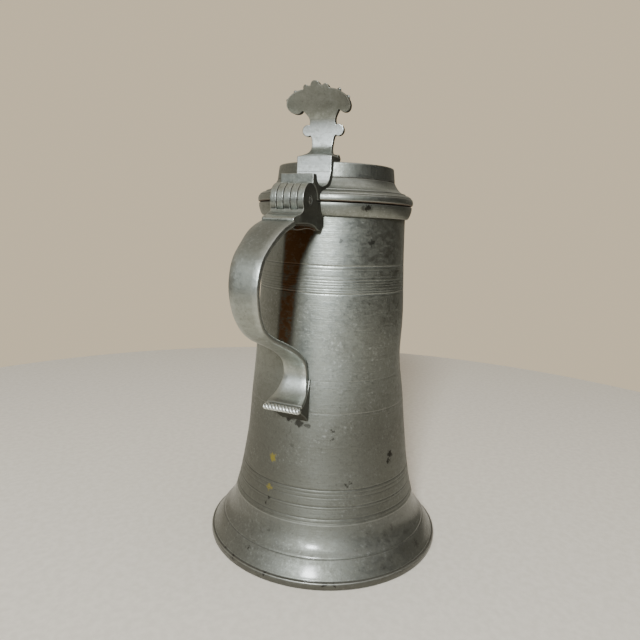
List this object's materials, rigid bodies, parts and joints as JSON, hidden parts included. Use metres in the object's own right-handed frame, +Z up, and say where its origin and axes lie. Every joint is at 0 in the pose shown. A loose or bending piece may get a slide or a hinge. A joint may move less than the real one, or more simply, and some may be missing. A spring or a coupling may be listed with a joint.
{
  "type": "lidded flagon",
  "caption": "Tall tapered pewter flagon on a flared foot, with a strap handle, a hinged lid and a lobed thumbpiece.",
  "frame": {"origin": "on the table, under the middle of the whole object's box; the body's axis is 17.25 mm towards -X", "axes": "+Z up along the body, +X towards the handle, Y across the handle, along the hinge pin"},
  "size_m": [0.1842, 0.1496, 0.2788],
  "materials": {
    "pewter": "antique pewter, lathe-turned, dull with soft highlights",
    "pewter_handle": "antique cast pewter, rubbed bright on edges",
    "pewter_inside": "unpolished oxidised pewter",
    "pin_iron": "dark iron wire"
  },
  "bodies": {
    "flagon": {"upper_drum": "pewter", "lower_drum": "pewter", "foot_skirt": "pewter", "base_plate": "pewter_inside", "lip_band": "pewter", "handle_strap": "pewter_handle", "handle_foot": "pewter_handle", "terminal_bar": "pewter_handle", "hinge_bracket": "pewter_handle", "hinge_pin": "pin_iron"},
    "lid": {"lid_shell": "pewter", "lid_leaf": "pewter_handle", "thumbpiece": "pewter_handle"}
  },
  "joints": [
    {"name": "lid_hinge", "type": "hinge", "parent": "flagon", "child": "lid", "pos_m": [0.04125, 0, 0.213], "axis": [0, 1, 0], "range_deg": [0, 125]}
  ]
}
